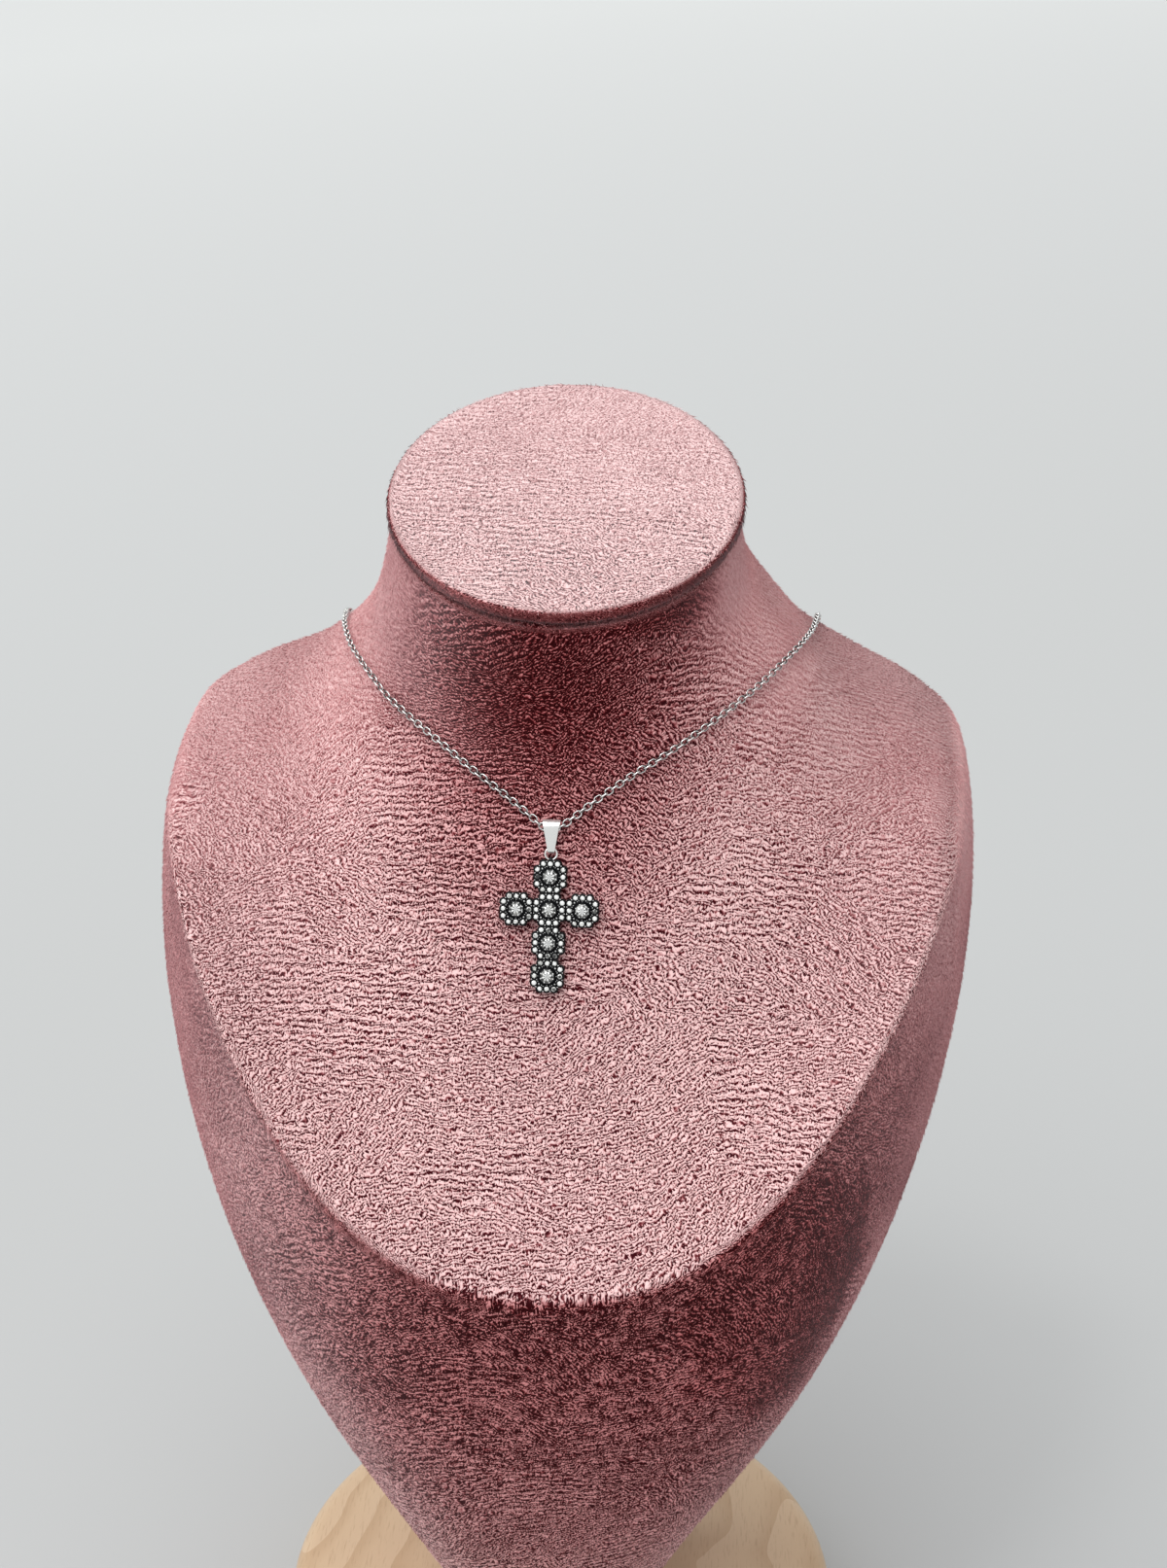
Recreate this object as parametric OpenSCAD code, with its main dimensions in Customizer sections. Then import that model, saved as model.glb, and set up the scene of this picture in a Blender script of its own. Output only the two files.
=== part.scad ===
// Cross necklace on its velvet neck bust.
// The origin is the middle of the wooden foot's underside, +Z is up and the chest looks along -Y.

/* [Stand] */
// Diameter of the round wooden foot
base_d = 146; // [130:1:160]
// Thickness of the wooden foot
base_h = 26; // [22:1:28]
// Rounding of the wooden foot's top edge
base_round = 5; // [2:0.5:7]
// Diameter of the velvet disc on the neck
cap_d = 80; // [78:0.5:84]
// Thickness of the velvet disc on the neck
cap_h = 4; // [3:0.5:6]
// Forward lean of the disc, in degrees
cap_tilt = 22.2; // [21:0.1:24]

/* [Cross] */
// Distance between the middles of neighbouring stone clusters
cluster_pitch = 7.2; // [7.1:0.05:7.5]
// Distance from a cluster's middle to its outer rows of small stones
row_reach = 2.8; // [2.75:0.05:2.9]
// Distance between small stones in a row
row_step = 1.55; // [1.5:0.01:1.6]
// Diameter of a cluster's middle stone
centre_stone_d = 2.9; // [2.6:0.05:3]
// Diameter of a small stone
small_stone_d = 1.32; // [1.2:0.02:1.36]
// Metal left outside the outer rows, measured from a small stone's middle
rim = 0.95; // [0.9:0.01:1.1]
// Thickness of the cast plate
plate_h = 1.75; // [1.6:0.05:2.2]

/* [Bail and ring] */
// Outer diameter of the jump ring
jump_ring_d = 3; // [2.9:0.05:3.2]
// Thickness of the jump ring's wire
jump_wire = 0.42; // [0.36:0.02:0.44]
// Width of the bail at its fold
bail_top_w = 4; // [3.6:0.1:4.4]
// Width of the bail at its tip
bail_tip_w = 1.4; // [1.2:0.1:1.5]
// Thickness of the bail's strip
bail_t = 0.4; // [0.35:0.05:0.45]

/* [Chain] */
// Width over the chain's links
chain_d = 1.6; // [1.4:0.05:1.7]
// Thickness of the clasp
clasp_t = 1; // [0.8:0.1:1.4]

/* [Hidden] */
$fn = 48;

// Slack between pieces that rest in each other, and between pieces that rest on each other
fit_gap = 0.06;
rest_gap = 0.1;
seat_gap = 0.3;

// The pendant lies on the chest: the middle of its back, and how far the chest leans back there
chest_y = -38.4;
chest_z = 248.2;
chest_tilt = 24.7;

// Middle of the disc's top face, and the height of its underside over a given depth
cap_y = 10;
cap_z = 328;
function under_cap(y) =
    cap_z + (y - cap_y) * tan(cap_tilt) - (cap_h + seat_gap) / cos(cap_tilt);

// Sections of the bust. Each is a closed line that dips at the front and rises at the back.
// The right shoulder is a little fuller than the left, so their middles wander sideways.
// half width, y front, y back, y middle, z front, z side, z back, squareness front and back,
// fall, x middle
foot_z = base_h + rest_gap;
chest_rows = [
    [38.5, -26.0, 46, 10, under_cap(-26), under_cap(10), under_cap(46), 2.00, 2.0, 1.0, 0],
    [41.5, -24.0, 47, 11, 293.0, 309.0, 321.0, 2.00, 2.4, 1.0, 0],
    [47.5, -26.5, 47, 14, 276.0, 298.5, 306.0, 2.00, 2.8, 1.1, 2],
    [56.0, -34.5, 47, 20, 257.0, 287.5, 296.0, 2.10, 3.2, 1.2, 2.5],
    [68.5, -45.0, 47, 26, 234.0, 280.0, 286.5, 2.15, 3.4, 1.4, 4],
    [81.5, -60.0, 47, 31, 205.0, 274.5, 275.0, 2.25, 3.7, 1.7, 2],
    [94.5, -80.5, 47, 33, 173.5, 259.0, 247.0, 2.45, 4.0, 2.3, 0.5],
];
body_rows = [
    chest_rows[len(chest_rows) - 1],
    [97.5, -70.0, 47, 31, 128.0, 211.5, 208.0, 2.30, 4.0, 1.7, -0.5],
    [82.0, -59.0, 44, 26, 92.0, 153.5, 150.0, 2.20, 4.0, 1.4, -0.5],
    [48.0, -43.5, 36, 14, 52.0, 87.0, 84.0, 2.20, 3.5, 1.2, -1.5],
    [21.0, -27.0, 22, 0, foot_z, foot_z, foot_z, 2.50, 3.0, 1.0, 0],
];
bust_sides = 64;
rows_between = 4;
// How far round the crease fades, as the cosine of the angle from the front
fade_start = 0.5;
fade_end = 0.1;

// Middle line of the chain, from the clasp up the back, over the left shoulder, down into the
// bail, and over the right shoulder back to the clasp
chain_line = [
    [-6.4, 48.4, 224.9], [-14, 48.4, 227.2], [-28, 48.3, 235.5], [-41, 48.1, 251.5],
    [-51.3, 47.5, 274], [-53.4, 46.2, 280], [-54.4, 43, 284.8], [-54.6, 37.5, 287.9],
    [-53.8, 29, 289.7], [-52.3, 19, 290.8], [-49.4, 9, 290.3], [-45.8, 1.4, 289.2],
    [-42.6, -4.2, 287.9], [-38.5, -9.8, 285.6], [-32.5, -15.5, 282.9], [-25, -21.1, 279.3],
    [-18, -25, 275.2], [-10, -28.7, 270.6], [-4.5, -31.1, 267], [-2, -32.4, 265.4],
    [0, -32.6, 265],
    [2, -32.4, 265.4], [4.5, -31.2, 267], [10, -29.1, 270.9], [17.5, -26.1, 275.6],
    [24.5, -22.9, 279.3], [33, -17.4, 283.8], [41.5, -9.5, 288], [46.5, -3.1, 290.3],
    [50, 3, 291.7], [53.8, 11.1, 292.7], [56.5, 22, 291.8], [57.8, 31.5, 290.8],
    [58.5, 38, 289.7], [58.6, 43.3, 286.8], [57, 46.5, 281.8], [54.5, 47.6, 276],
    [42, 48.1, 251.5], [28, 48.3, 235.5], [14, 48.4, 227.2], [6.4, 48.4, 224.9],
];
chain_sides = 8;
chain_between = 2;
// Depth of the line round which the chain's section is turned
neck_axis_y = 20;

// The clasp: half length of its body, its radius, and the eye at each end
clasp_at = [0, 48.4, 224.6];
clasp_half = 3;
clasp_r = 1.6;
clasp_eye_x = 5;
clasp_eye_r = 1.15;
clasp_hole_r = 0.55;

// Middles of the six clusters, in steps of the pitch: top, left, middle, right and two below
clusters = [[0, 1], [-1, 0], [0, 0], [1, 0], [0, -1], [0, -2]];
function cluster_at(k) = cluster_pitch * clusters[k];
// The twelve small stones of a cluster, three on each side
cluster_ring = [
    for (side = [0:3], i = [-1:1])
        let(a = 90 * side) [
            row_reach * cos(a) - i * row_step * sin(a),
            row_reach * sin(a) + i * row_step * cos(a)
        ]
];

// Heights over the chest
plate_z = 0.25;
plate_top = plate_z + plate_h;
cup_top = plate_top + 0.35;
cup_wall = 0.2;
small_girdle_z = plate_top - 0.05;
centre_girdle_z = cup_top - 0.07;

// Cut of the stones, as parts of their diameter
table_part = 0.56;
crown_part = 0.17;
girdle_part = 0.03;
pavilion_part = 0.42;

// The jump ring stands in the chest's plane, its lower side in the cross's eye
ring_mean_r = (jump_ring_d - jump_wire) / 2;
ring_z = 0.95;
ring_low_y = cluster_pitch + row_reach + rim - 0.08;
ring_y = ring_low_y + ring_mean_r;
eye_r = 0.65;
eye_w = 0.8;
eye_bore_r = jump_wire / 2 + 0.11;
eye_pocket_w = 1.5;

// Side view of the bail: a small round at the tip and a large one at the fold
bail_tip_r = 0.7;
bail_fold_r = 1.65;
bail_tip = [ring_y + 0.9, ring_z];
bail_fold = [ring_y + 5.89, plate_z + bail_fold_r];

function spline(a, b, c, d, t) =
    0.5 * (2 * b + (c - a) * t + (2 * a - 5 * b + 4 * c - d) * t * t
        + (3 * b - a - 3 * c + d) * t * t * t);
// A smooth line through rows or points, with a number of steps between each two
function smooth(rows, steps) = let(last = len(rows) - 1) [
    for (i = [0:last - 1], k = [0:steps - 1])
        spline(i > 0 ? rows[i - 1] : 2 * rows[0] - rows[1], rows[i], rows[i + 1],
            i < last - 1 ? rows[i + 2] : 2 * rows[last] - rows[last - 1], k / steps),
    rows[last]
];

function below_first(rows) = [for (r = [1:len(rows) - 1]) rows[r]];

// One point of a bust section: 0 degrees is the front, 180 the back
function section_point(row, a) =
    let(
        s = sin(a), c = cos(a), front = c >= 0,
        power = 2 / (front ? row[7] : row[8]),
        depth = pow(abs(c), power),
        drop = pow(abs(c), row[9])
    ) [
        row[10] + row[0] * sign(s) * pow(abs(s), power),
        row[3] + ((front ? row[1] : row[2]) - row[3]) * depth,
        row[5] + ((front ? row[4] : row[6]) - row[5]) * drop
    ];
// The crease under the chest is sharp in front and fades out over the shoulders:
// 0 where the chest and the body meet in an edge, 1 where they run into each other
function crease_fade(a) =
    let(t = min(1, max(0, (fade_start - cos(a)) / (fade_start - fade_end))))
    t * t * (3 - 2 * t);
function section(sharp, soft) = [
    for (i = [0:bust_sides - 1])
        let(a = i * 360 / bust_sides, fade = crease_fade(a))
        (1 - fade) * section_point(sharp, a) + fade * section_point(soft, a)
];

function unit(v) = v / norm(v);
function across(v, along) = unit(v - (v * along) * along);

// Walls between closed lines of n points each, and a lid on the first and the last line
function tube_faces(lines, n) = concat(
    [for (r = [0:lines - 2], i = [0:n - 1]) let(j = (i + 1) % n, a = r * n, b = a + n)
        [a + i, a + j, b + i]],
    [for (r = [0:lines - 2], i = [0:n - 1]) let(j = (i + 1) % n, a = r * n, b = a + n)
        [a + j, b + j, b + i]],
    [[for (i = [n - 1:-1:0]) i]],
    [[for (i = [0:n - 1]) (lines - 1) * n + i]]
);

module on_chest() {
    translate([0, chest_y, chest_z]) rotate([90 - chest_tilt, 0, 0]) children();
}

// Turned wooden disc with a rounded top edge
module wood_base() {
    color("burlywood") rotate_extrude($fn = 96) {
        square([base_d / 2 - base_round, base_h]);
        square([base_d / 2, base_h - base_round]);
        translate([base_d / 2 - base_round, base_h - base_round])
            intersection() {
                circle(base_round);
                square(base_round);
            }
    }
}

// Shaped form under the velvet: neck, chest, a sharp round crease and the lower body
module bust() {
    sharp = concat(smooth(chest_rows, rows_between), below_first(smooth(body_rows, rows_between)));
    soft = smooth(concat(chest_rows, below_first(body_rows)), rows_between);
    color([0.78, 0.52, 0.54])
        polyhedron(
            [for (r = [0:len(sharp) - 1]) each section(sharp[r], soft[r])],
            tube_faces(len(sharp), bust_sides)
        );
}

// Covered disc that closes the neck
module neck_cap() {
    edge = 1.2;
    color([0.82, 0.58, 0.6])
        translate([0, cap_y, cap_z]) rotate([cap_tilt, 0, 0]) translate([0, 0, -cap_h])
            rotate_extrude($fn = 96) {
                square([cap_d / 2 - edge, cap_h]);
                translate([0, edge]) square([cap_d / 2, cap_h - 2 * edge]);
                for (z = [edge, cap_h - edge])
                    translate([cap_d / 2 - edge, z]) circle(edge);
            }
}

// The whole chain as one tube over its links, open at the clasp
module chain() {
    line = smooth(chain_line, chain_between);
    last = len(line) - 1;
    points = [
        for (i = [0:last])
            let(
                along = unit(line[min(i + 1, last)] - line[max(i - 1, 0)]),
                out = across([line[i][0], line[i][1] - neck_axis_y, 0], along),
                side = cross(along, out)
            )
            for (k = [0:chain_sides - 1])
                let(a = k * 360 / chain_sides)
                line[i] + chain_d / 2 * (cos(a) * out + sin(a) * side)
    ];
    color("silver") polyhedron(points, tube_faces(last + 1, chain_sides));
}

// Plain flat clasp behind the neck with an eye at each end
module clasp() {
    color("silver") translate(clasp_at) rotate([90, 0, 0])
        translate([0, 0, -clasp_t / 2]) linear_extrude(clasp_t)
            difference() {
                union() {
                    square([2 * clasp_half, 2 * clasp_r], center = true);
                    for (side = [-1, 1]) {
                        translate([side * clasp_half, 0]) circle(clasp_r);
                        translate([side * clasp_eye_x, 0]) circle(clasp_eye_r);
                    }
                }
                for (side = [-1, 1])
                    translate([side * clasp_eye_x, 0]) circle(clasp_hole_r);
            }
}

// Two rounds joined by their outer tangents: big at the fold, small at the tip
module drop_outline(inset) {
    big = bail_fold_r - inset;
    small = bail_tip_r - inset;
    way = bail_tip - bail_fold;
    down = unit(way);
    side = [-down[1], down[0]];
    lean = (bail_fold_r - bail_tip_r) / norm(way);
    slope = sqrt(1 - lean * lean);
    left = lean * down + slope * side;
    right = lean * down - slope * side;
    translate(bail_fold) circle(big);
    translate(bail_tip) circle(small);
    polygon([
        bail_fold + big * left, bail_fold + big * right,
        bail_tip + small * right, bail_tip + small * left
    ]);
}

// Strip folded over the chain, tapered from the fold to the tip
module bail() {
    top = bail_fold[0] + bail_fold_r;
    tip = bail_tip[0] - bail_tip_r;
    color("gainsboro") on_chest() intersection() {
        rotate([90, 0, 90]) translate([0, 0, -bail_top_w])
            linear_extrude(2 * bail_top_w) difference() {
                drop_outline(0);
                drop_outline(bail_t);
            }
        linear_extrude(4) polygon([
            [-bail_tip_w / 2, tip - rest_gap], [bail_tip_w / 2, tip - rest_gap],
            [bail_top_w / 2, top + rest_gap], [-bail_top_w / 2, top + rest_gap]
        ]);
    }
}

// Closed wire ring between the bail and the cross
module jump_ring() {
    color("silver") on_chest() translate([0, ring_y, ring_z])
        rotate_extrude() translate([ring_mean_r, 0]) circle(jump_wire / 2, $fn = 24);
}

// A round and a cone under it, in which a stone sits
module seat(d) {
    r = d / 2 + fit_gap;
    depth = d * pavilion_part + 2 * fit_gap;
    translate([0, 0, -d * girdle_part]) cylinder(h = d, r = r);
    translate([0, 0, -d * girdle_part - depth]) cylinder(h = depth, r1 = 0, r2 = r);
}

// Cast cross: a plate scalloped round its stones, cups for the six middle stones and an eye
module cross_casting() {
    inner = [
        for (s = [0:3]) each [
            [row_reach * cos(90 * s) + row_step * sin(90 * s),
                row_reach * sin(90 * s) - row_step * cos(90 * s)],
            [row_reach * cos(90 * s) - row_step * sin(90 * s),
                row_reach * sin(90 * s) + row_step * cos(90 * s)]
        ]
    ];
    color("dimgray") on_chest() difference() {
        union() {
            translate([0, 0, plate_z]) linear_extrude(plate_h)
                for (k = [0:len(clusters) - 1]) translate(cluster_at(k)) {
                    polygon(inner);
                    for (p = cluster_ring) translate(p) circle(rim, $fn = 24);
                }
            for (k = [0:len(clusters) - 1]) translate(cluster_at(k))
                translate([0, 0, plate_z])
                    cylinder(h = cup_top - plate_z, r = centre_stone_d / 2 + fit_gap + cup_wall);
            translate([-eye_w / 2, ring_low_y, ring_z]) rotate([0, 90, 0])
                cylinder(h = eye_w, r = eye_r);
        }
        translate([-eye_pocket_w / 2, ring_low_y, ring_z]) rotate([0, 90, 0])
            cylinder(h = eye_pocket_w, r = eye_bore_r);
        for (k = [0:len(clusters) - 1]) translate(cluster_at(k)) {
            translate([0, 0, centre_girdle_z]) seat(centre_stone_d);
            for (p = cluster_ring) translate(p) translate([0, 0, small_girdle_z])
                seat(small_stone_d);
        }
    }
}

// A cut stone: an eight-sided table, a crown, a girdle and a pointed pavilion
module cut_stone(d, girdle_sides) {
    n = 8;
    m = girdle_sides;
    step = m / n;
    r = d / 2;
    half_girdle = d * girdle_part / 2;
    points = concat(
        [for (i = [0:n - 1]) let(a = (i + 0.5) * 360 / n)
            [r * table_part * cos(a), r * table_part * sin(a), half_girdle + d * crown_part]],
        [for (z = [half_girdle, -half_girdle], i = [0:m - 1]) let(a = i * 360 / m)
            [r * cos(a), r * sin(a), z]],
        [[0, 0, -half_girdle - d * pavilion_part]]
    );
    up = n;
    low = n + m;
    tip = n + 2 * m;
    polyhedron(points, concat(
        [[for (i = [n - 1:-1:0]) i]],
        [for (i = [0:n - 1]) [(i + n - 1) % n, i, up + i * step]],
        [for (i = [0:n - 1], k = [0:step - 1])
            [i, up + (i * step + k + 1) % m, up + i * step + k]],
        [for (i = [0:m - 1]) [up + i, up + (i + 1) % m, low + i]],
        [for (i = [0:m - 1]) [up + (i + 1) % m, low + (i + 1) % m, low + i]],
        [for (i = [0:m - 1]) [low + i, low + (i + 1) % m, tip]]
    ));
}

module centre_stone(k) {
    color("lightcyan") on_chest() translate(cluster_at(k))
        translate([0, 0, centre_girdle_z]) cut_stone(centre_stone_d, 16);
}

module small_stones() {
    color("azure") on_chest()
        for (k = [0:len(clusters) - 1]) translate(cluster_at(k))
            for (p = cluster_ring) translate(p) translate([0, 0, small_girdle_z])
                cut_stone(small_stone_d, 8);
}

wood_base();
bust();
neck_cap();
chain();
clasp();
bail();
jump_ring();
cross_casting();  // cross
centre_stone(0);  // centre_stone_1
centre_stone(1);  // centre_stone_2
centre_stone(2);  // centre_stone_3
centre_stone(3);  // centre_stone_4
centre_stone(4);  // centre_stone_5
centre_stone(5);  // centre_stone_6
small_stones();
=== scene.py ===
import math
import random

import bmesh
import bpy
import numpy as np
from mathutils import Matrix, Vector
from mathutils.bvhtree import BVHTree


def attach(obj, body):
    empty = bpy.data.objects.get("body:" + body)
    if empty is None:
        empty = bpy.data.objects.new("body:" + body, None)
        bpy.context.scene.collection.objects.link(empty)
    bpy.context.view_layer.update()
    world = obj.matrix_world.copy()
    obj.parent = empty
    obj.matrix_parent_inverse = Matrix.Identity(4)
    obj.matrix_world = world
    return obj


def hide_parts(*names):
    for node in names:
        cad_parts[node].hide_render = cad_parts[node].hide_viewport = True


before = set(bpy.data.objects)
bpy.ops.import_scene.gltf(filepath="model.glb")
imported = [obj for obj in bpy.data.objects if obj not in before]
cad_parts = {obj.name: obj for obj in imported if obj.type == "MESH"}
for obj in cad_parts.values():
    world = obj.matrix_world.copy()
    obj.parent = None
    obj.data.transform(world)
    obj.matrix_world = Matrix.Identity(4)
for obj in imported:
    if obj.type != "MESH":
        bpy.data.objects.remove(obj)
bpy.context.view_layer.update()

# Camera
# It stands half a metre in front of the chest, higher than the neck, and looks down at it.
# The photo's frame is 1200 by 1613, and the sensor's width lies along the long side.
mm = 0.001
photo_height = 1613
focal_in_pixels = 2415
camera_place = Vector((34.9, -490.5, 487.9)) * mm
camera_swing = 3.5
camera_dip = 24.8
camera_roll = 0.3
lens = bpy.data.cameras.new("camera")
lens.sensor_width = 36
lens.lens = focal_in_pixels / photo_height * lens.sensor_width
camera = bpy.data.objects.new("camera", lens)
camera.matrix_world = (
    Matrix.Translation(camera_place)
    @ Matrix.Rotation(math.radians(camera_swing), 4, "Z")
    @ Matrix.Rotation(math.radians(90 - camera_dip), 4, "X")
    @ Matrix.Rotation(math.radians(camera_roll), 4, "Z")
)
bpy.context.scene.collection.objects.link(camera)
bpy.context.scene.camera = camera

# Wooden foot
# A beech disc, turned on a lathe from one flat-sawn board, its top edge rounded over and its
# lower edge eased. It is lacquered clear. The bust stands on its middle.
foot_r = 73
foot_h = 26
foot_round = 5
foot_ease = 0.8
top_band = 20
under_band = 12
wood_light = (0.64, 0.47, 0.305)
wood_middle = (0.62, 0.45, 0.285)
wood_dark = (0.55, 0.38, 0.23)
fleck_tone = (0.36, 0.21, 0.115, 1)
pith = (14.0, 0.0, -118.0)


def new_material(name, **settings):
    """A material with its Principled shader, and the settings that are the same all over."""
    made = bpy.data.materials.new(name)
    made.use_nodes = True
    shader = made.node_tree.nodes["Principled BSDF"]
    for key, value in settings.items():
        shader.inputs[key.replace("_", " ")].default_value = value
    return made, shader


def add(made, kind, inputs, **settings):
    """One shader node. Inputs are values or other nodes' outputs, by name or number."""
    node = made.node_tree.nodes.new("ShaderNode" + kind)
    for key, value in settings.items():
        setattr(node, key, value)
    for key, value in inputs.items():
        if isinstance(value, bpy.types.NodeSocket):
            made.node_tree.links.new(value, node.inputs[key])
        else:
            node.inputs[key].default_value = value
    return node


def feed(shader, name, output):
    """Joins a node's output to one of the shader's inputs."""
    shader.id_data.links.new(output, shader.inputs[name])


def math_node(made, operation, *values, clamp=False):
    return add(made, "Math", dict(enumerate(values)), operation=operation, use_clamp=clamp).outputs[0]


def times(made, a, b):
    return math_node(made, "MULTIPLY", a, b)


def plus(made, a, b):
    return math_node(made, "ADD", a, b)


def minus(made, a, b):
    return math_node(made, "SUBTRACT", a, b)


def vector_node(made, operation, *values):
    node = add(made, "VectorMath", dict(enumerate(values)), operation=operation)
    return node.outputs["Value" if operation in ("DOT_PRODUCT", "LENGTH") else "Vector"]


def enlarged(made, vector, factor):
    node = add(made, "VectorMath", {0: vector, "Scale": factor}, operation="SCALE")
    return node.outputs["Vector"]


def mix(made, share, first, second, way="MIX"):
    """The first colour mixed with a share of the second, or multiplied by it."""
    colours = {"Fac": share, "Color1": first, "Color2": second}
    return add(made, "MixRGB", colours, blend_type=way).outputs[0]


def bump(made, height, strength, depth):
    relief = {"Height": height, "Strength": strength, "Distance": depth}
    return add(made, "Bump", relief).outputs[0]


def ramp(made, value, *stops):
    """A colour ramp through stops of (place, colour), where a colour may be one grey."""
    node = add(made, "ValToRGB", {0: value})
    elements = node.color_ramp.elements
    for place, _ in stops[2:]:
        elements.new(place)
    for element, (place, colour) in zip(elements, stops):
        element.position = place
        rgb = (colour,) * 3 if isinstance(colour, (int, float)) else colour
        element.color = (*rgb, 1)
    return node.outputs["Color"]


def millimetres(made):
    """Object coordinates in millimetres."""
    return enlarged(made, add(made, "TexCoord", {}).outputs["Object"], 1000.0)


def arc(x, z, radius, start, end, steps):
    """Points of an arc round (x, z), from one angle to another in degrees."""
    angles = [math.radians(start + (end - start) * k / steps) for k in range(steps + 1)]
    return [(x + radius * math.cos(a), z + radius * math.sin(a)) for a in angles]


def in_order(shape):
    """The same shape with its points and faces in one fixed order, which spin leaves to chance."""
    faces = []
    for face in shape.faces:
        corners = [tuple(round(part, 4) + 0.0 for part in vert.co) for vert in face.verts]
        first = corners.index(min(corners))
        faces.append(corners[first:] + corners[:first])
    ordered = bmesh.new()
    points = {}
    for corners in sorted(faces):
        for corner in corners:
            if corner not in points:
                points[corner] = ordered.verts.new(corner)
        ordered.faces.new([points[corner] for corner in corners])
    shape.free()
    return ordered


def lathe(outline, steps):
    """A body turned round Z from an outline of (radius, height) points."""
    turned = bmesh.new()
    line = [turned.verts.new((r, 0, z)) for r, z in outline]
    edges = [turned.edges.new(pair) for pair in zip(line, line[1:])]
    bmesh.ops.spin(
        turned, geom=line + edges, cent=(0, 0, 0), axis=(0, 0, 1), dvec=(0, 0, 0),
        angle=2 * math.pi, steps=steps, use_merge=True, use_duplicate=False,
    )
    bmesh.ops.remove_doubles(turned, verts=turned.verts, dist=0.001)
    bmesh.ops.recalc_face_normals(turned, faces=turned.faces)
    return in_order(turned)


def make_piece(name, shape, materials, replaced=(), sharp=40, scale=mm):
    """Turns a bmesh into a smooth-shaded piece on the body, in metres."""
    bmesh.ops.scale(shape, vec=(scale,) * 3, verts=shape.verts)
    data = bpy.data.meshes.new(name)
    shape.to_mesh(data)
    shape.free()
    data.shade_smooth()
    data.set_sharp_from_angle(angle=math.radians(sharp))
    for finish in materials:
        data.materials.append(finish)
    made = bpy.data.objects.new(name, data)
    bpy.context.scene.collection.objects.link(made)
    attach(made, "root")
    if replaced:
        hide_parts(*replaced)
    return made


beech, shader = new_material("lacquered_beech", Roughness=0.42, Coat_Weight=0.12)
place = millimetres(beech)
bend = add(beech, "TexNoise", {"Vector": place, "Scale": 0.018, "Detail": 2.0})
bent = vector_node(beech, "ADD", place, enlarged(beech, bend.outputs["Color"], 22.0))
# Growth rings lie round a pith under the board, which runs a little off the grain
across = vector_node(beech, "MULTIPLY", bent, (1.0, 0.16, 1.0))
from_pith = vector_node(beech, "LENGTH", vector_node(beech, "SUBTRACT", across, pith))
rings = add(
    beech, "TexWave",
    {"Vector": add(beech, "CombineXYZ", {0: from_pith}).outputs[0], "Scale": 0.055,
     "Distortion": 1.2, "Detail": 2.0, "Detail Scale": 0.6},
    wave_type="BANDS", bands_direction="X", wave_profile="SAW",
).outputs["Fac"]
ring_colour = ramp(beech, rings, (0.0, wood_light), (0.6, wood_middle), (0.93, wood_dark))
stretch = vector_node(beech, "MULTIPLY", place, (2.6, 0.22, 2.6))
flecks = add(beech, "TexNoise", {"Vector": stretch, "Scale": 1.0, "Detail": 3.0}).outputs["Fac"]
fleck_share = times(beech, ramp(beech, flecks, (0.55, 0.0), (0.7, 1.0)), 0.35)
feed(shader, "Base Color", mix(beech, fleck_share, ring_colour, fleck_tone))
feed(shader, "Normal", bump(beech, flecks, 0.12, 0.0002))

foot = lathe(
    [(0, foot_h), (foot_r - foot_round - top_band, foot_h)]
    + arc(foot_r - foot_round, foot_h - foot_round, foot_round, 90, 0, 10)
    + arc(foot_r - foot_ease, foot_ease, foot_ease, 0, -90, 3)
    + [(foot_r - under_band, 0), (0, 0)],
    160,
)
make_piece("wooden_foot", foot, [beech], ["wood_base"])

# Velvet bust
# A moulded neck and chest, covered in brushed suede velvet that is stretched over the form and
# glued, with a sharp round crease under the chest and no seam in front.
gap_dark = (0.045, 0.003, 0.006)
pile_deep = (0.18, 0.026, 0.032)
pile_middle = (0.55, 0.25, 0.255)
pile_light = (0.96, 0.66, 0.65)
sheen_tone = (0.58, 0.44, 0.46, 1)
shoulder_shade_tone = (0.74, 0.73, 0.73, 1)
nap_way = (0.0, 0.6, 0.8)
front_way = (0.16, -0.98, 0.0)
stroke_size = 21
row_step = 0.87
rib_step = 1.75
# Where the shadow at the throat is painted
throat = (-2.0, -30.0, 300.0)
throat_reach = 84.0
# Where the painted shade below the crease is deepest
right_shade_spot = (72.0, -42.0, 177.0)
disc_top = (0.0, 10.0, 328.0)
disc_shadow_r = 41.5
disc_shadow_end = 46.0
height_span = 400.0
smooth_fold = 18
sharp_fold = 38


def fade(made, value, start, end, low=0.0, high=1.0, kind="LINEAR"):
    """Goes from low to high while a value goes from start to end, and no further."""
    reach = {"Value": value, "From Min": start, "From Max": end, "To Min": low, "To Max": high}
    return add(made, "MapRange", reach, interpolation_type=kind).outputs[0]


def distance(made, place, centre, stretch=(1.0, 1.0, 1.0)):
    """How far a place lies from a centre, with each axis stretched by its own factor."""
    away = vector_node(made, "SUBTRACT", place, centre)
    return vector_node(made, "LENGTH", vector_node(made, "MULTIPLY", away, stretch))


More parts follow.
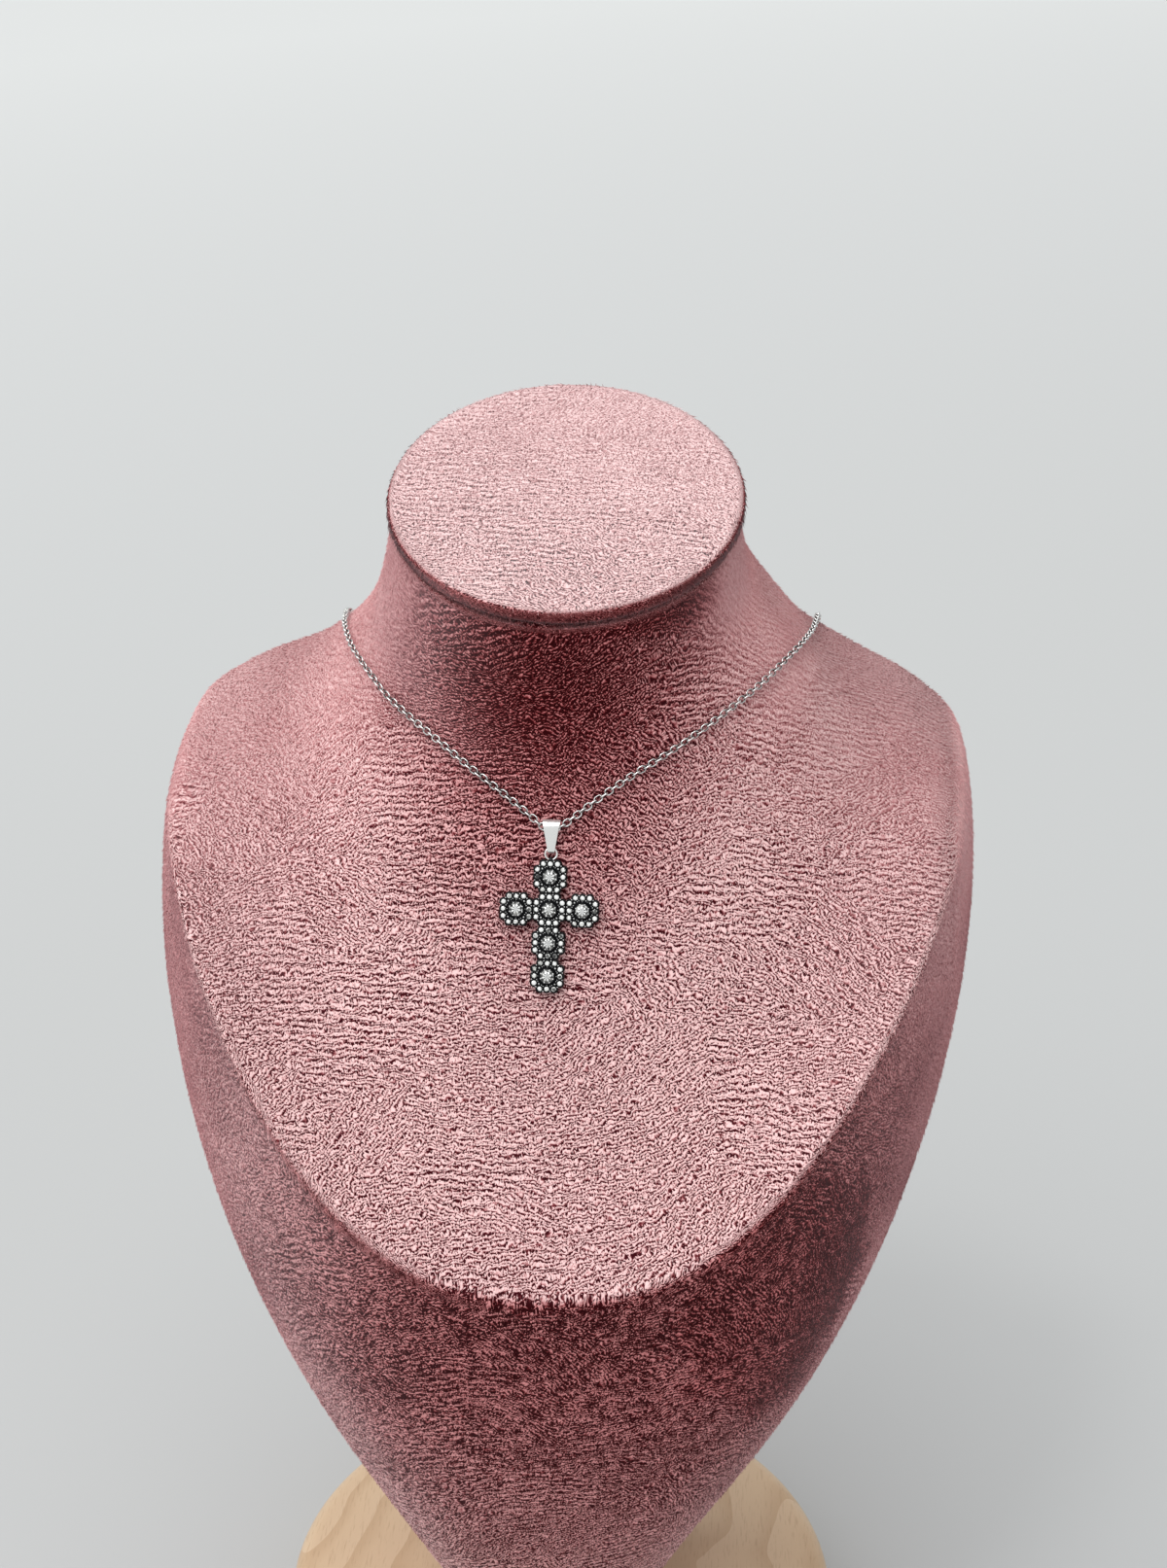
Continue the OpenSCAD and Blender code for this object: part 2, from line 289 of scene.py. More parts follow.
def combed_nap(made, place, facing):
    """How high the nap stands: in fine wavy rows, which nubs break up, combed patch by patch.

    It also gives how the nap bends, each patch's lot of three numbers, and the wandering place
    that the patches follow."""
    level = vector_node(made, "NORMALIZE", vector_node(made, "CROSS_PRODUCT", facing, nap_way))
    downhill = vector_node(made, "CROSS_PRODUCT", facing, level)
    # Patches: each has its own middle and its own way of combing
    drift = add(made, "TexNoise", {"Vector": place, "Scale": 0.07, "Detail": 3.0})
    wander = vector_node(made, "ADD", place, enlarged(made, drift.outputs["Color"], 34.0))
    patch = add(made, "TexVoronoi", {"Vector": wander, "Scale": 1 / stroke_size})
    away = vector_node(made, "SUBTRACT", place, patch.outputs["Position"])
    along = vector_node(made, "DOT_PRODUCT", away, level)
    down = vector_node(made, "DOT_PRODUCT", away, downhill)
    flat = add(made, "CombineXYZ", {0: along, 1: down}).outputs[0]
    lot = add(made, "SeparateColor", {0: patch.outputs["Color"]}).outputs
    # Where ribs show, the strands cross them squarely
    swing_reach = ramp(made, lot[2], (0.55, 2.0), (0.65, 0.5))
    swing = times(made, minus(made, lot[0], 0.5), swing_reach)
    combed = add(
        made, "VectorRotate", {"Vector": flat, "Angle": swing}, rotation_type="Z_AXIS").outputs[0]
    bend = add(made, "TexNoise", {"Vector": place, "Scale": 0.45, "Detail": 1.0}).outputs["Fac"]
    nubs = add(
        made, "TexNoise",
        {"Vector": vector_node(made, "MULTIPLY", combed, (2.5, 1.3, 1.0)), "Scale": 1.0,
         "Detail": 1.0, "Roughness": 0.7, "Distortion": 0.3},
        noise_dimensions="2D",
    ).outputs["Fac"]
    across_rows = add(made, "SeparateXYZ", {0: combed}).outputs["Y"]
    row_turns = times(made, across_rows, 2 * math.pi / row_step)
    row_shift = plus(made, times(made, bend, 22.0), times(made, nubs, 7.0))
    rows = math_node(made, "SINE", plus(made, row_turns, row_shift))
    # Broader ribs show in some of the patches
    sway = add(made, "TexNoise", {"Vector": place, "Scale": 0.14, "Detail": 1.0}).outputs["Fac"]
    rib_turns = times(made, down, 2 * math.pi / rib_step)
    ribs = math_node(made, "SINE", plus(made, rib_turns, times(made, sway, 16.0)))
    ribbed = times(made, ribs, ramp(made, lot[2], (0.55, 0.0), (0.68, 0.10)))
    fine = plus(made, times(made, rows, 0.15), times(made, nubs, 0.85))
    return plus(made, fine, ribbed), bend, lot, wander


def painted_lower_shade(made, height, upright, frontal):
    """How much shade is painted on upright velvet in front, most of all half-way down."""
    half_way = ramp(
        made, math_node(made, "DIVIDE", height, height_span),
        (0.14, 0.3), (0.36, 0.9), (0.56, 1.0), (0.66, 0.1))
    seen_squarely = plus(made, times(made, frontal, 0.7), 0.3)
    return times(made, times(made, upright, seen_squarely), half_way)


def shaded_throat(made, place, front_half, frontal, shade):
    """A shadow is painted in front of the neck, under the disc, and darkens there by degrees."""
    from_throat = distance(made, place, throat, (1.6, 1.0, 1.0))
    throat_shadow = fade(made, from_throat, 0.0, throat_reach, shade, 0.0, "SMOOTHSTEP")
    from_disc = distance(made, place, disc_top)
    shadow_under_disc = fade(made, from_disc, disc_shadow_r, disc_shadow_end, shade, 0.0)
    return math_node(
        made, "MAXIMUM", times(made, throat_shadow, front_half), times(made, shadow_under_disc, frontal))


def velvet(name, brightness, contrast, smoothed, throat_shade, top_shade, top_shade_tone, side_shade):
    """Brushed velvet, of fine strands with dark gaps between, which catch the light unevenly.

    From one depth to another it is smoothed down to a share of its contrast."""
    made, shader = new_material(
        name, Roughness=0.85, Sheen_Weight=0.08, Sheen_Roughness=0.4,
        Sheen_Tint=(1.0, 0.66, 0.70, 1), Specular_IOR_Level=0.05,
    )
    place = millimetres(made)
    facing = add(made, "Attribute", {}, attribute_name="facing").outputs["Vector"]
    spot = add(made, "SeparateXYZ", {0: place}).outputs
    turned = add(made, "SeparateXYZ", {0: facing}).outputs
    pile, bend, lot, wander = combed_nap(made, place, facing)
    upright = fade(made, turned["Z"], 0.48, 0.10, kind="SMOOTHSTEP")
    squarely = vector_node(made, "DOT_PRODUCT", facing, front_way)
    frontal = fade(made, squarely, 0.5, 0.97, kind="SMOOTHSTEP")
    front_half = fade(made, turned["Y"], 0.35, -0.15)

    # Shade is painted below the crease, deepest at one side right below it, as a shadow at the
    # throat, and over the edge of the disc
    lower_shade = painted_lower_shade(made, spot["Z"], upright, frontal)
    from_right_shade_spot = distance(made, wander, right_shade_spot, (1.0, 1.0, 0.7))
    right_spot_shade = fade(made, from_right_shade_spot, 16.0, 30.0, 0.6, 0.0, "SMOOTHSTEP")
    shade_below_crease = times(made, plus(made, lower_shade, times(made, right_spot_shade, upright)), 0.92)
    shadow_at_throat = shaded_throat(made, place, front_half, frontal, throat_shade)
    # Shade is painted over the rounded edge of the disc
    rim_shade = fade(made, turned["Z"], 0.8, 0.45, 0.0, side_shade)
    painted_shade = math_node(
        made, "ADD", shade_below_crease, plus(made, shadow_at_throat, rim_shade), clamp=True)
    shade_shift = times(made, ramp(made, painted_shade, (0.0, 0.0), (0.5, 0.23), (1.0, 0.54)), -1.0)

    # Broad fields and single patches lie lighter or darker
    fields = add(made, "TexNoise", {"Vector": place, "Scale": 0.03, "Detail": 2.0}).outputs["Fac"]
    field_reach = plus(made, times(made, lower_shade, 0.4), 0.26)
    lean = times(made, minus(made, fields, 0.5), field_reach)
    patch_lean = times(made, minus(made, lot[1], 0.5), 0.05)
    shade = plus(made, plus(made, lean, patch_lean), shade_shift)

    # The strands themselves: where shade is painted below the crease, they stand in clumps
    clumps = times(made, times(made, minus(made, bend, 0.5), 2.0), lower_shade)
    strand_reach = times(made, plus(made, times(made, painted_shade, 0.25), 1.0), contrast)
    strands = times(made, minus(made, pile, 0.425), strand_reach)
    # The tufts' own tone with their painted shade and highlight, and the painted shadow along the
    # chain
    tone_and_painted_light = add(made, "Attribute", {}, attribute_name="tone_and_painted_light").outputs["Fac"]
    rough = plus(made, plus(made, clumps, strands), tone_and_painted_light)
    crisp_start, crisp_end, crisp_share = smoothed
    crisp_by_depth = fade(made, spot["Y"], crisp_start, crisp_end, 1.0, crisp_share, "SMOOTHSTEP")
    low_down = fade(made, spot["Z"], 215.0, 170.0, 0.0, 0.9)
    crisp = math_node(made, "MAXIMUM", crisp_by_depth, times(made, low_down, front_half))
    turned_aside = fade(made, math_node(made, "ABSOLUTE", turned["X"]), 0.55, 0.9, 1.0, 0.2)
    coarse = times(made, rough, times(made, crisp, turned_aside))

    depth = plus(made, coarse, plus(made, shade, brightness))
    colour = ramp(
        made, depth, (0.18, gap_dark), (0.38, pile_deep), (0.58, pile_middle), (0.88, pile_light))
    # Painted shade also deepens the colour, and upright velvet has a painted pale mauve sheen at the
    # sides
    shade_tint = ramp(made, painted_shade, (0.0, 1.0), (0.5, (0.85, 0.64, 0.65)), (1.0, (0.74, 0.38, 0.39)))
    deepened = mix(made, 1.0, colour, shade_tint, "MULTIPLY")
    # Painted sheen where upright velvet turns away from the front
    painted_sheen = times(made, times(made, upright, 0.2), minus(made, 1.0, frontal))
    sheened = mix(made, painted_sheen, deepened, sheen_tone)
    # Painted shade dulls what faces up, and the shoulder on the right
    top_shade_share = fade(made, turned["Z"], 0.6, 0.95, 0.0, top_shade)
    top_shaded = mix(made, top_shade_share, sheened, top_shade_tone)
    right_shoulder_shade = times(
        made, fade(made, turned["X"], 0.1, 0.6), fade(made, turned["Z"], 0.45, 0.7))
    feed(shader, "Base Color", mix(made, right_shoulder_shade, top_shaded, shoulder_shade_tone, "MULTIPLY"))
    feed(shader, "Normal", bump(made, pile, 0.5, 0.0006))
    return made


def mark_facing(data, facing):
    """Keeps the way the velvet faces at each point, which its pattern follows."""
    data.attributes.new("facing", "FLOAT_VECTOR", "POINT").data.foreach_set(
        "vector", facing.ravel().astype(np.float32))


def point_normals(data):
    normals = np.empty(len(data.vertices) * 3)
    data.vertices.foreach_get("normal", normals)
    return normals.reshape(-1, 3)


def merged_copy(node):
    """A CAD node's mesh with its loose triangles joined, in metres."""
    copy = bmesh.new()
    copy.from_mesh(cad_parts[node].data)
    bmesh.ops.remove_doubles(copy, verts=copy.verts, dist=1e-6)
    return copy


def apply_modifiers(made):
    """Puts the result of a piece's modifiers into its own mesh."""
    graph = bpy.context.evaluated_depsgraph_get()
    finished = bpy.data.meshes.new_from_object(made.evaluated_get(graph))
    made.modifiers.clear()
    made.data = finished


bust_velvet = velvet(
    "bust_velvet", brightness=0.665, contrast=3.1, smoothed=(-45, 5, 0.26), throat_shade=0.93,
    top_shade=0.56, top_shade_tone=(0.30, 0.14, 0.145, 1), side_shade=0)
bust = merged_copy("bust")
bmesh.ops.join_triangles(
    bust, faces=bust.faces, angle_face_threshold=math.radians(35),
    angle_shape_threshold=math.radians(80),
)
crease = bust.edges.layers.float.new("crease_edge")
for edge in bust.edges:
    if len(edge.link_faces) == 2:
        fold = math.degrees(edge.calc_face_angle())
        edge[crease] = min(1.0, max(0.0, (fold - smooth_fold) / (sharp_fold - smooth_fold)))
bust_piece = make_piece(
    "velvet_bust", bust, [bust_velvet], ["bust"], sharp=180, scale=1)
rounding = bust_piece.modifiers.new("rounding", "SUBSURF")
rounding.levels = rounding.render_levels = 2
apply_modifiers(bust_piece)
mark_facing(bust_piece.data, point_normals(bust_piece.data))

# Pile of the velvet
# The tips of the nap: short lying tufts of rayon, brushed a different way in each patch where a
# hand has stroked them. Their roots are painted darker as shade, and their tips lighter as a
# painted highlight. Under the chain, whose line is given here, the pile is pressed flat, so no
# tufts stand there, and a shadow is painted along it.
tufts_a_piece = 49000
tuft_l = 1.15
tuft_w = 0.28
tuft_rise = 22
tuft_rise_spread = 7
tuft_room = 0.98
tries_a_mm2 = 3
root_depth = 0.12
root_behind = 0.25
back_h = 1.3
stroke_spread = 0.5
tuft_spread = 0.3
root_shade_tone = -0.2
tip_highlight_tone = 0.14
tone_spread = 0.06
chain_shadow_tone = -0.3
trail_half_w = 0.95
trail_soft_w = 0.9
chain_line = [
    (-7.3, 48.4, 224.9), (-14, 48.4, 227.2), (-28, 48.3, 235.5), (-41, 48.1, 251.5),
    (-51.3, 47.5, 274), (-53.4, 46.2, 280), (-54.4, 43, 284.8), (-54.6, 37.5, 287.9),
    (-53.8, 29, 289.7), (-52.3, 19, 290.8), (-49.4, 9, 290.3), (-45.8, 1.4, 289.2),
    (-42.6, -4.2, 287.9), (-38.5, -9.8, 285.6), (-32.5, -15.5, 282.9), (-25, -21.1, 279.3),
    (-18, -25, 275.2), (-10, -28.7, 270.6), (-4.5, -31.1, 267), (-2, -32.4, 265.4),
    (0, -32.6, 265),
    (2, -32.4, 265.4), (4.5, -31.2, 267), (10, -29.1, 270.9), (17.5, -26.1, 275.6),
    (24.5, -22.9, 279.3), (33, -17.4, 283.8), (41.5, -9.5, 288), (46.5, -3.1, 290.3),
    (50, 3, 291.7), (53.8, 11.1, 292.7), (56.5, 22, 291.8), (57.8, 31.5, 290.8),
    (58.5, 38, 289.7), (58.6, 43.3, 286.8), (57, 46.5, 281.8), (54.5, 47.6, 276),
    (42, 48.1, 251.5), (28, 48.3, 235.5), (14, 48.4, 227.2), (7.3, 48.4, 224.9),
]


def spline_point(points, t):
    """A smooth line through points, at t from 0 to the last point's number."""
    k = min(int(t), len(points) - 2)
    u = t - k
    b, c = points[k], points[k + 1]
    a = points[k - 1] if k > 0 else 2 * b - c
    d = points[k + 2] if k + 2 < len(points) else 2 * c - b
    return 0.5 * (
        2 * b + (c - a) * u + (2 * a - 5 * b + 4 * c - d) * u * u
        + (3 * b - a - 3 * c + d) * u ** 3)


chain_points = [Vector(point) for point in chain_line]
chain_track = np.array([spline_point(chain_points, k / 10) for k in range(10 * len(chain_line) - 9)])


def from_chain(points):
    """How far each point lies from the chain's line, in millimetres."""
    nearest = np.empty(len(points))
    for start in range(0, len(points), 8192):
        gaps = points[start:start + 8192, None] - chain_track[None]
        nearest[start:start + 8192] = np.sqrt((gaps ** 2).sum(axis=2).min(axis=1))
    return nearest


def point_places(data):
    places = np.empty(len(data.vertices) * 3)
    data.vertices.foreach_get("co", places)
    return places.reshape(-1, 3) / mm


def mark_tone(data, tones):
    """Keeps how much lighter or darker the velvet is at each point, with its painted light and shade,
    beside the rest of it.
    """
    data.attributes.new("tone_and_painted_light", "FLOAT", "POINT").data.foreach_set(
        "value", tones.ravel().astype(np.float32))


# A shadow is painted on the velvet along the chain
chain_shadow_share = 1 - (from_chain(point_places(bust_piece.data)) - trail_half_w) / trail_soft_w
mark_tone(bust_piece.data, chain_shadow_tone * np.clip(chain_shadow_share, 0, 1))


def scatter(surface, count, dice):
    """Random points on a mesh, evenly by area, with the smooth normal at each, in millimetres."""
    data = surface.data
    data.calc_loop_triangles()
    corners = np.empty(len(data.loop_triangles) * 3, dtype=np.int64)
    data.loop_triangles.foreach_get("vertices", corners)
    corners = corners.reshape(-1, 3)
    places = point_places(data)
    normals = point_normals(data)
    a, b, c = (places[corners[:, k]] for k in range(3))
    area = np.linalg.norm(np.cross(b - a, c - a), axis=1) / 2
    chosen = dice.choice(len(corners), count, p=area / area.sum())
    share = dice.random((count, 2))
    share = np.where(share.sum(axis=1, keepdims=True) > 1, 1 - share, share)
    weights = np.column_stack([1 - share.sum(axis=1), share])[:, :, None]
    points = (places[corners[chosen]] * weights).sum(axis=1)
    facing = (normals[corners[chosen]] * weights).sum(axis=1)
    return points, facing / np.linalg.norm(facing, axis=1, keepdims=True), area.sum()


def tuft_places(surface, dice):
    """One place for each small cube of space that the surface runs through, off the chain's trail.

    It also gives the way the surface faces at each place, and its whole area."""
    area = scatter(surface, 1, dice)[2]
    points, facing, _ = scatter(surface, int(area * tries_a_mm2), dice)
    cells = np.floor(points / tuft_room).astype(np.int64) @ np.array([1, 4096, 4096 ** 2])
    chosen = np.unique(cells, return_index=True)[1]
    dice.shuffle(chosen)
    chosen = chosen[from_chain(points[chosen]) > trail_half_w]
    return points[chosen], facing[chosen], area


def combing(surface, points, area, dice):
    """The angle each tuft is combed at, nearly the same all over each stroke of the hand."""
    strokes = scatter(surface, int(area / stroke_size ** 2) + 1, dice)[0]
    wander = points + 5 * np.sin(points[:, [1, 2, 0]] / 9) + 3 * np.sin(points[:, [2, 0, 1]] / 4)
    nearest = np.empty(len(points), dtype=np.int64)
    for start in range(0, len(points), 4096):
        gaps = wander[start:start + 4096, None] - strokes[None]
        nearest[start:start + 4096] = (gaps ** 2).sum(axis=2).argmin(axis=1)
    stroke_angle = dice.normal(0, stroke_spread, len(strokes))
    return stroke_angle[nearest] + dice.normal(0, tuft_spread, len(points))


def tuft_corners(points, facing, angle, dice):
    """Each tuft's four corners: two at the sides of its root, one on its back, and its tip."""
    count = len(points)
    level = np.cross(facing, nap_way)
    level /= np.maximum(np.linalg.norm(level, axis=1, keepdims=True), 0.001)
    uphill = np.cross(level, facing)
    along = np.sin(angle)[:, None] * level - np.cos(angle)[:, None] * uphill
    side = np.cross(facing, along)
    rise = np.radians(dice.normal(tuft_rise, tuft_rise_spread, count))[:, None]
    length = (tuft_l * dice.uniform(0.6, 1.25, count))[:, None]
    half_w = (tuft_w * dice.uniform(0.35, 0.65, count))[:, None]
    tips = points + length * (np.cos(rise) * along + np.sin(rise) * facing)
    roots = points - root_depth * facing - root_behind * length * along
    backs = roots + back_h * half_w * facing
    return np.stack([roots + half_w * side, roots - half_w * side, backs, tips], 1)


def lay_pile(name, surface):
    """Tufts all over a velvet piece, in pieces of their own that ride with it."""
    dice = np.random.default_rng(11)
    points, facing, area = tuft_places(surface, dice)
    angle = combing(surface, points, area, dice)
    shape = tuft_corners(points, facing, angle, dice)
    count = len(points)
    tone = dice.normal(0.0, tone_spread, count)
    tones = np.stack([tone + root_shade_tone] * 3 + [tone + tip_highlight_tone], 1)
    corner_order = np.array([(0, 1, 2), (0, 3, 1), (1, 3, 2), (2, 3, 0)])
    for part in range(math.ceil(count / tufts_a_piece)):
        few = slice(part * tufts_a_piece, (part + 1) * tufts_a_piece)
        verts = shape[few].reshape(-1, 3) * mm
        faces = (4 * np.arange(len(verts) // 4)[:, None, None] + corner_order).reshape(-1, 3)
        data = bpy.data.meshes.new(f"{name}_{part + 1}")
        data.from_pydata(verts, [], faces)
        mark_tone(data, tones[few])
        mark_facing(data, np.repeat(facing[few], 4, axis=0))
        data.materials.append(surface.data.materials[0])
        pile = bpy.data.objects.new(data.name, data)
        bpy.context.scene.collection.objects.link(pile)
        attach(pile, "root")


lay_pile("bust_pile", bust_piece)

# Velvet disc on the neck
# A thin board covered in the same velvet, wrapped over its edge, which closes the sloping top of
# the neck. A narrow gap stays between it and the neck.
disc_r = 40
disc_h = 4
disc_edge = 1.5
disc_crown = 0.5
disc_tilt = 22.2

disc_velvet = velvet(
    "disc_velvet", brightness=0.73, contrast=2.3, smoothed=(-30, 45, 0.4), throat_shade=0,
    top_shade=0.2, top_shade_tone=(0.48, 0.54, 0.54, 1), side_shade=0.9)
disc = lathe(
    [(disc_r * k / 12, disc_crown * (1 - (k / 12) ** 2) - disc_crown) for k in range(12)]
    + arc(disc_r - disc_edge, -disc_edge - disc_crown, disc_edge, 90, 0, 5)
    + arc(disc_r - disc_edge, disc_edge - disc_h, disc_edge, 0, -90, 5)
    + [(disc_r * k / 4, -disc_h) for k in (3, 2, 1, 0)],
    144,
)
disc.transform(
    Matrix.Translation(disc_top) @ Matrix.Rotation(math.radians(disc_tilt), 4, "X"))
disc_piece = make_piece(
    "velvet_disc", disc, [disc_velvet], ["neck_cap"], sharp=180)
mark_facing(disc_piece.data, point_normals(disc_piece.data))
lay_pile("disc_pile", disc_piece)

# Cable chain
# Oval links of drawn steel wire, closed and polished, each one turned a quarter to the next.
# The chain lies on the velvet, passes through the bail and hangs down the back to the clasp.
link_l = 2.2
link_w = 1.7
link_wire = 0.36
link_pitch = 1.42
link_around = 16
wire_around = 8
link_twist = 13
link_twist_turn = 0.19
link_slack = 5
inner_shade_middle = 0.35
inner_shade_most = 0.95

steel, shader = new_material("polished_steel", Metallic=1.0, Roughness=0.12)
place = millimetres(steel)
smear = add(steel, "TexNoise", {"Vector": place, "Scale": 0.9, "Detail": 4.0}).outputs["Fac"]
steel_tone = ramp(steel, smear, (0.3, (0.68, 0.675, 0.655)), (0.6, (0.95, 0.95, 0.93)))
inner_shade = add(steel, "Attribute", {}, attribute_name="inner_shade").outputs["Fac"]
# Shade is painted dark on the inner side of each link and ring
feed(shader, "Base Color", mix(steel, inner_shade, steel_tone, (0.03, 0.028, 0.027, 1)))
drawn = vector_node(steel, "MULTIPLY", place, (9.0, 1.2, 1.2))
scratches = add(steel, "TexNoise", {"Vector": drawn, "Scale": 1.6, "Detail": 3.0}).outputs["Fac"]
feed(shader, "Normal", bump(steel, scratches, 0.06, 0.00005))


def even_stations(points, pitch):
    """Stations along the smooth line, an even number of equal steps near the pitch."""
    fine = [spline_point(points, k / 40) for k in range(40 * (len(points) - 1) + 1)]
    run = [0.0]
    for a, b in zip(fine, fine[1:]):
        run.append(run[-1] + (b - a).length)
    steps = 2 * round(run[-1] / pitch / 2)
    stations = []
    k = 0
    for n in range(steps + 1):
        goal = run[-1] * n / steps
        while k < len(run) - 2 and run[k + 1] < goal:
            k += 1
        share = (goal - run[k]) / (run[k + 1] - run[k])
        stations.append(fine[k].lerp(fine[k + 1], min(1.0, share)))
    return stations


def ring_shape(mean_r, wire, around, across):
    """A closed wire ring in the XY plane, with no vertex on the Y axis, with shade painted inside."""
    made = bmesh.new()
    turn = Matrix.Rotation(math.pi / around, 4, "Z")
    section = turn @ Matrix.Translation((mean_r, 0, 0)) @ Matrix.Rotation(math.pi / 2, 4, "X")
    circle = bmesh.ops.create_circle(made, segments=across, radius=wire / 2, matrix=section)
    bmesh.ops.spin(
        made, geom=circle["verts"] + list(made.edges), cent=(0, 0, 0), axis=(0, 0, 1),
        dvec=(0, 0, 0), angle=2 * math.pi, steps=around, use_merge=True, use_duplicate=False)
    bmesh.ops.remove_doubles(made, verts=made.verts, dist=0.0001)
    bmesh.ops.recalc_face_normals(made, faces=made.faces)
    made = in_order(made)
    inner_shade_of = made.verts.layers.float.new("inner_shade")
    for vert in made.verts:
        inward = (mean_r - vert.co.to_2d().length) / (wire / 2)
        vert[inner_shade_of] = min(inner_shade_most, max(0.0, inner_shade_middle + inward))
    return made


def as_mesh(shape):
    data = bpy.data.meshes.new("shape")
    shape.to_mesh(data)
    shape.free()
    return data


link = ring_shape((link_w - link_wire) / 2, link_wire, link_around, wire_around)
for vert in link.verts:
    vert.co.x += math.copysign((link_l - link_w) / 2, vert.co.x)
link_mesh = as_mesh(link)

velvet_surface = bmesh.new()
velvet_surface.from_mesh(bust_piece.data)
surface_tree = BVHTree.FromBMesh(velvet_surface)
velvet_surface.free()

chance = random.Random(7)
stations = even_stations(chain_points, link_pitch)
last = len(stations) - 1
chain = bmesh.new()
for n, middle in enumerate(stations):
    way = (stations[min(n + 1, last)] - stations[max(n - 1, 0)]).normalized()
    out = surface_tree.find_nearest(middle * mm)[1]
    out = (out - out.dot(way) * way).normalized()
    # The links at both ends lie flat on the back, and every other one lies flat but for some twist
    standing = 90 if n % 2 else 0
    twist = link_twist * math.sin(link_twist_turn * n) * math.sin(math.pi * n / last)
    roll = math.radians(standing + twist + chance.gauss(0, link_slack))
    width = math.cos(roll) * way.cross(out) + math.sin(roll) * out
    spin = Matrix((way, width, way.cross(width))).transposed().to_4x4()
    start = len(chain.verts)
    chain.from_mesh(link_mesh)
    chain.verts.ensure_lookup_table()
    bmesh.ops.transform(
        chain, matrix=Matrix.Translation(middle) @ spin, verts=chain.verts[start:])
make_piece("cable_chain", chain, [steel], ["chain"], sharp=60)

# Clasp and its rings
# A plain flat clasp behind the neck, stamped from steel sheet with an eye at each end, its edges
# eased. A small closed ring holds each end of the chain in its eye.
end_ring_r = 0.87
end_ring_wire = 0.36
clasp_eye_x = 5.85
clasp_y = 48.4
clasp_z = 224.6
clasp_ease = 0.18

clasp = merged_copy("clasp")
bmesh.ops.dissolve_limit(
    clasp, angle_limit=math.radians(2), verts=clasp.verts, edges=clasp.edges, delimit={"NORMAL"})
rims = [e for e in clasp.edges if len(e.link_faces) == 2 and e.calc_face_angle() > math.radians(60)]
bmesh.ops.bevel(
    clasp, geom=rims, affect="EDGES", offset=clasp_ease * mm, offset_type="OFFSET", segments=2,
    profile=0.5, clamp_overlap=True, material=-1)
make_piece("plain_clasp", clasp, [steel], ["clasp"], scale=1)

end_rings = bmesh.new()
ring_mesh = as_mesh(ring_shape(end_ring_r, end_ring_wire, 24, 8))
for side in (1, -1):
    start = len(end_rings.verts)
    end_rings.from_mesh(ring_mesh)
    end_rings.verts.ensure_lookup_table()
    bmesh.ops.translate(
        end_rings, vec=(side * clasp_eye_x, clasp_y, clasp_z), verts=end_rings.verts[start:])
make_piece("end_rings", end_rings, [steel], sharp=60)

# Bail
# One strip of polished steel, wide at the fold and narrow at the tip, bent over the chain and
# closed round the jump ring, its edges eased. It lies on the sloping chest with the cross, whose
# own sizes say where the eye and the jump ring come.
chest_spot = (0, -38.4, 248.2)
chest_slope = 24.7
on_chest = Matrix.Translation(chest_spot) @ Matrix.Rotation(math.radians(90 - chest_slope), 4, "X")
pitch = 7.2
row_reach = 2.8
plate_rim = 0.95
eye_sunk = 0.08
eye_y = pitch + row_reach + plate_rim - eye_sunk
jump_ring_r = 1.29
jump_wire = 0.42
ring_y = eye_y + jump_ring_r
ring_z = 0.95
above_velvet = 0.25
bail_t = 0.4
bail_top_w = 4.0
bail_tip_w = 1.4
bail_tip_r = 0.7
bail_fold_r = 1.65
bail_ease = 0.07
tip_from_ring = 0.9
fold_from_ring = 5.89
bail_tip = Vector((ring_y + tip_from_ring, ring_z))
bail_fold = Vector((ring_y + fold_from_ring, above_velvet + bail_fold_r))

bail_steel, shader = new_material(
    "bail_steel", Metallic=0.75, Base_Color=(0.97, 0.965, 0.94, 1))
rubbed_way = vector_node(bail_steel, "MULTIPLY", millimetres(bail_steel), (12.0, 1.0, 1.0))
grain = add(
    bail_steel, "TexNoise", {"Vector": rubbed_way, "Scale": 1.2, "Detail": 4.0}).outputs["Fac"]
feed(shader, "Normal", bump(bail_steel, grain, 0.1, 0.00005))
feed(shader, "Roughness", ramp(bail_steel, grain, (0.3, 0.14), (0.7, 0.26)))


def strip_line(inset):
    """Side view of the bail: round the fold, down to the tip, round it and back up."""
    way = (bail_tip - bail_fold).normalized()
    lean = (bail_fold_r - bail_tip_r) / (bail_tip - bail_fold).length
    spread = math.degrees(math.acos(lean))
    heading = math.degrees(math.atan2(way.y, way.x))
    fold_arc = arc(*bail_fold, bail_fold_r - inset, heading + spread, heading + 360 - spread, 20)
    tip_arc = arc(*bail_tip, bail_tip_r - inset, heading - spread, heading + spread, 12)
    return fold_arc + tip_arc


